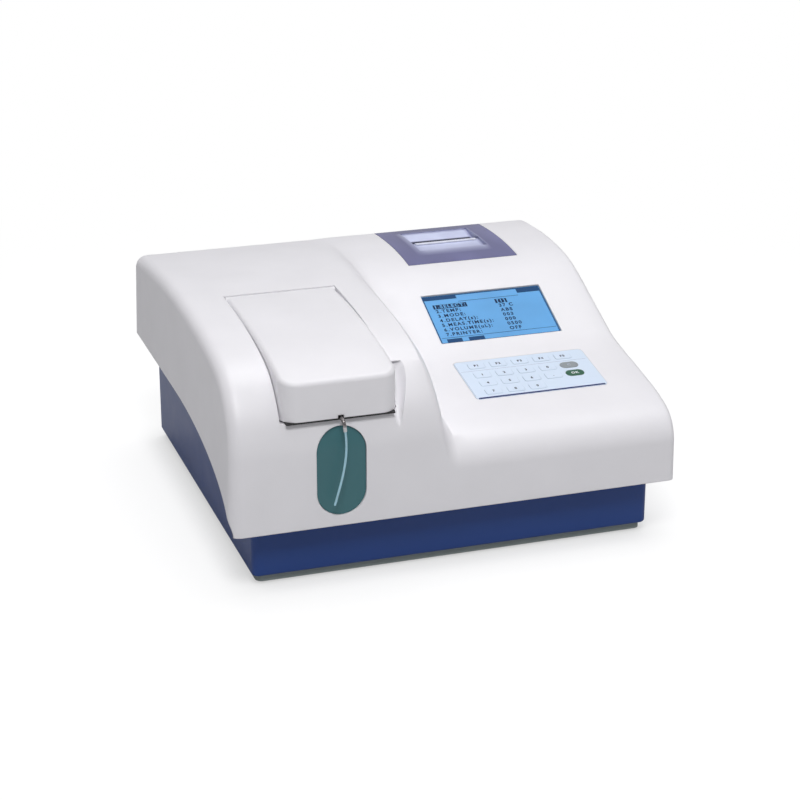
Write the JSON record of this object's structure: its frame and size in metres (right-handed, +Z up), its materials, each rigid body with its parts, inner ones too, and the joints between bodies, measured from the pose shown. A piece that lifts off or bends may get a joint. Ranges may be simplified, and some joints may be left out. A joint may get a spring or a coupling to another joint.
{
  "type": "benchtop chemistry analyzer",
  "caption": "Benchtop chemistry analyzer: domed cover over a boxed base, hinged lid over a flow-cell well, sample tube in front, sloping screen, keypad and strip printer.",
  "frame": {"origin": "centre of the footprint on the bench, under the middle of the overall length and width without the hanging sample tube", "axes": "+X to the right and +Y towards the rear as seen from the front, +Z up; the front with the sample tube faces -Y"},
  "size_m": [0.3996, 0.3826, 0.1971],
  "materials": {
    "cover_plastic": "fine-textured off-white",
    "base_plastic": "satin dark blue",
    "pan_steel": "greenish grey",
    "rubber": "matt black",
    "steel": "turned",
    "chrome": "plated",
    "black_plastic": "matt black",
    "teal_plastic": "teal",
    "screen": "blue liquid-crystal screen",
    "overlay": "pale blue film",
    "key_pale": "pale blue film",
    "key_grey": "grey",
    "key_green": "green",
    "circuit_board": "green solder mask",
    "printer_plastic": "grey violet",
    "paper": "paper",
    "clear_tube": "clear soft tube, bluish",
    "silicone": "translucent silicone",
    "quartz": "clear",
    "cast_aluminium": "cast",
    "brass": "turned",
    "fan_plastic": "black"
  },
  "bodies": {
    "instrument": {"top_cover": "cover_plastic", "base_tub": "base_plastic", "base_pan": "pan_steel", "rubber_feet": "rubber", "cover_screws": "steel", "hinge_pins": "steel", "chamber_liner": "black_plastic", "plate_guide": "black_plastic", "plate_springs": "steel", "screen_module": "screen", "keypad_overlay": "overlay", "keypad_board": "circuit_board", "printer_bucket": "black_plastic", "printer_mechanism": "black_plastic", "sample_sleeve": "chrome", "sample_tube": "clear_tube", "fluid_lines": "silicone", "cell_block": "cast_aluminium", "flow_cell": "quartz", "detector_board": "circuit_board", "optics_bench": "cast_aluminium", "filter_motor": "black_plastic", "lamp_housing": "cast_aluminium", "halogen_lamp": "quartz", "pump_head": "black_plastic", "pump_motor": "steel", "power_supply": "steel", "main_board": "circuit_board", "rear_panel": "pan_steel", "mains_inlet": "black_plastic", "fan_frame": "fan_plastic", "waste_fitting": "brass"},
    "cell_lid": {"cell_lid": "cover_plastic"},
    "printer_cover": {"printer_cover": "printer_plastic"},
    "aspirate_plate": {"aspirate_plate": "teal_plastic"},
    "power_rocker": {"power_rocker": "black_plastic"},
    "fan_rotor": {"fan_rotor": "fan_plastic"},
    "filter_wheel": {"filter_wheel": "cast_aluminium"},
    "pump_rotor": {"pump_rotor": "steel"},
    "paper_roll": {"paper_roll": "paper"},
    "platen_roller": {"platen_roller": "rubber"},
    "key_f1": {"key_f1": "key_pale"},
    "key_f2": {"key_f2": "key_pale"},
    "key_f3": {"key_f3": "key_pale"},
    "key_f4": {"key_f4": "key_pale"},
    "key_f5": {"key_f5": "key_pale"},
    "key_1": {"key_1": "key_pale"},
    "key_2": {"key_2": "key_pale"},
    "key_3": {"key_3": "key_pale"},
    "key_0": {"key_0": "key_pale"},
    "key_4": {"key_4": "key_pale"},
    "key_5": {"key_5": "key_pale"},
    "key_6": {"key_6": "key_pale"},
    "key_point": {"key_point": "key_pale"},
    "key_7": {"key_7": "key_pale"},
    "key_8": {"key_8": "key_pale"},
    "key_9": {"key_9": "key_pale"},
    "key_back": {"key_back": "key_grey"},
    "key_enter": {"key_enter": "key_green"}
  },
  "joints": [
    {"name": "lid_hinge", "type": "hinge", "parent": "instrument", "child": "cell_lid", "pos_m": [-0.1045, -0.0004, 0.194], "axis": [-1, 0, 0], "range_deg": [0, 100]},
    {"name": "printer_cover_hinge", "type": "hinge", "parent": "instrument", "child": "printer_cover", "pos_m": [0.0945, 0.1878, 0.176], "axis": [-1, 0, 0], "range_deg": [0, 90]},
    {"name": "plate_press", "type": "slide", "parent": "instrument", "child": "aspirate_plate", "axis": [0, 1, 0], "range_m": [0, 0.002], "stiffness_N_per_m": 1200, "springref_m": -0.001, "deforming": ["plate_springs"]},
    {"name": "rocker_tilt", "type": "hinge", "parent": "instrument", "child": "power_rocker", "pos_m": [-0.092, 0.1815, 0.08], "axis": [1, 0, 0], "range_deg": [0, 14]},
    {"name": "fan_spin", "type": "hinge", "parent": "instrument", "child": "fan_rotor", "pos_m": [0.066, 0.177, 0.06], "axis": [0, 1, 0], "continuous": true},
    {"name": "filter_wheel_turn", "type": "hinge", "parent": "instrument", "child": "filter_wheel", "pos_m": [-0.079, 0.014, 0.135], "axis": [0, 1, 0], "continuous": true},
    {"name": "pump_turn", "type": "hinge", "parent": "instrument", "child": "pump_rotor", "pos_m": [-0.105, -0.127, 0.05], "axis": [0, 1, 0], "continuous": true},
    {"name": "paper_feed", "type": "hinge", "parent": "instrument", "child": "paper_roll", "pos_m": [0.0945, 0.107, 0.1503], "axis": [1, 0, 0], "continuous": true},
    {"name": "platen_turn", "type": "hinge", "parent": "instrument", "child": "platen_roller", "pos_m": [0.0945, 0.141, 0.168], "axis": [1, 0, 0], "continuous": true},
    {"name": "key_f1_press", "type": "slide", "parent": "instrument", "child": "key_f1", "axis": [0, 0.1797, -0.9837], "range_m": [0, 0.0005], "stiffness_N_per_m": 400, "springref_m": -0.0005},
    {"name": "key_f2_press", "type": "slide", "parent": "instrument", "child": "key_f2", "axis": [0, 0.1797, -0.9837], "range_m": [0, 0.0005], "stiffness_N_per_m": 400, "springref_m": -0.0005},
    {"name": "key_f3_press", "type": "slide", "parent": "instrument", "child": "key_f3", "axis": [0, 0.1797, -0.9837], "range_m": [0, 0.0005], "stiffness_N_per_m": 400, "springref_m": -0.0005},
    {"name": "key_f4_press", "type": "slide", "parent": "instrument", "child": "key_f4", "axis": [0, 0.1797, -0.9837], "range_m": [0, 0.0005], "stiffness_N_per_m": 400, "springref_m": -0.0005},
    {"name": "key_f5_press", "type": "slide", "parent": "instrument", "child": "key_f5", "axis": [0, 0.1797, -0.9837], "range_m": [0, 0.0005], "stiffness_N_per_m": 400, "springref_m": -0.0005},
    {"name": "key_1_press", "type": "slide", "parent": "instrument", "child": "key_1", "axis": [0, 0.1797, -0.9837], "range_m": [0, 0.0005], "stiffness_N_per_m": 400, "springref_m": -0.0005},
    {"name": "key_2_press", "type": "slide", "parent": "instrument", "child": "key_2", "axis": [0, 0.1797, -0.9837], "range_m": [0, 0.0005], "stiffness_N_per_m": 400, "springref_m": -0.0005},
    {"name": "key_3_press", "type": "slide", "parent": "instrument", "child": "key_3", "axis": [0, 0.1797, -0.9837], "range_m": [0, 0.0005], "stiffness_N_per_m": 400, "springref_m": -0.0005},
    {"name": "key_0_press", "type": "slide", "parent": "instrument", "child": "key_0", "axis": [0, 0.1797, -0.9837], "range_m": [0, 0.0005], "stiffness_N_per_m": 400, "springref_m": -0.0005},
    {"name": "key_4_press", "type": "slide", "parent": "instrument", "child": "key_4", "axis": [0, 0.1797, -0.9837], "range_m": [0, 0.0005], "stiffness_N_per_m": 400, "springref_m": -0.0005},
    {"name": "key_5_press", "type": "slide", "parent": "instrument", "child": "key_5", "axis": [0, 0.1797, -0.9837], "range_m": [0, 0.0005], "stiffness_N_per_m": 400, "springref_m": -0.0005},
    {"name": "key_6_press", "type": "slide", "parent": "instrument", "child": "key_6", "axis": [0, 0.1797, -0.9837], "range_m": [0, 0.0005], "stiffness_N_per_m": 400, "springref_m": -0.0005},
    {"name": "key_point_press", "type": "slide", "parent": "instrument", "child": "key_point", "axis": [0, 0.1797, -0.9837], "range_m": [0, 0.0005], "stiffness_N_per_m": 400, "springref_m": -0.0005},
    {"name": "key_7_press", "type": "slide", "parent": "instrument", "child": "key_7", "axis": [0, 0.1797, -0.9837], "range_m": [0, 0.0005], "stiffness_N_per_m": 400, "springref_m": -0.0005},
    {"name": "key_8_press", "type": "slide", "parent": "instrument", "child": "key_8", "axis": [0, 0.1797, -0.9837], "range_m": [0, 0.0005], "stiffness_N_per_m": 400, "springref_m": -0.0005},
    {"name": "key_9_press", "type": "slide", "parent": "instrument", "child": "key_9", "axis": [0, 0.1797, -0.9837], "range_m": [0, 0.0005], "stiffness_N_per_m": 400, "springref_m": -0.0005},
    {"name": "key_back_press", "type": "slide", "parent": "instrument", "child": "key_back", "axis": [0, 0.1797, -0.9837], "range_m": [0, 0.0005], "stiffness_N_per_m": 400, "springref_m": -0.0005},
    {"name": "key_enter_press", "type": "slide", "parent": "instrument", "child": "key_enter", "axis": [0, 0.1797, -0.9837], "range_m": [0, 0.0005], "stiffness_N_per_m": 400, "springref_m": -0.0005}
  ]
}
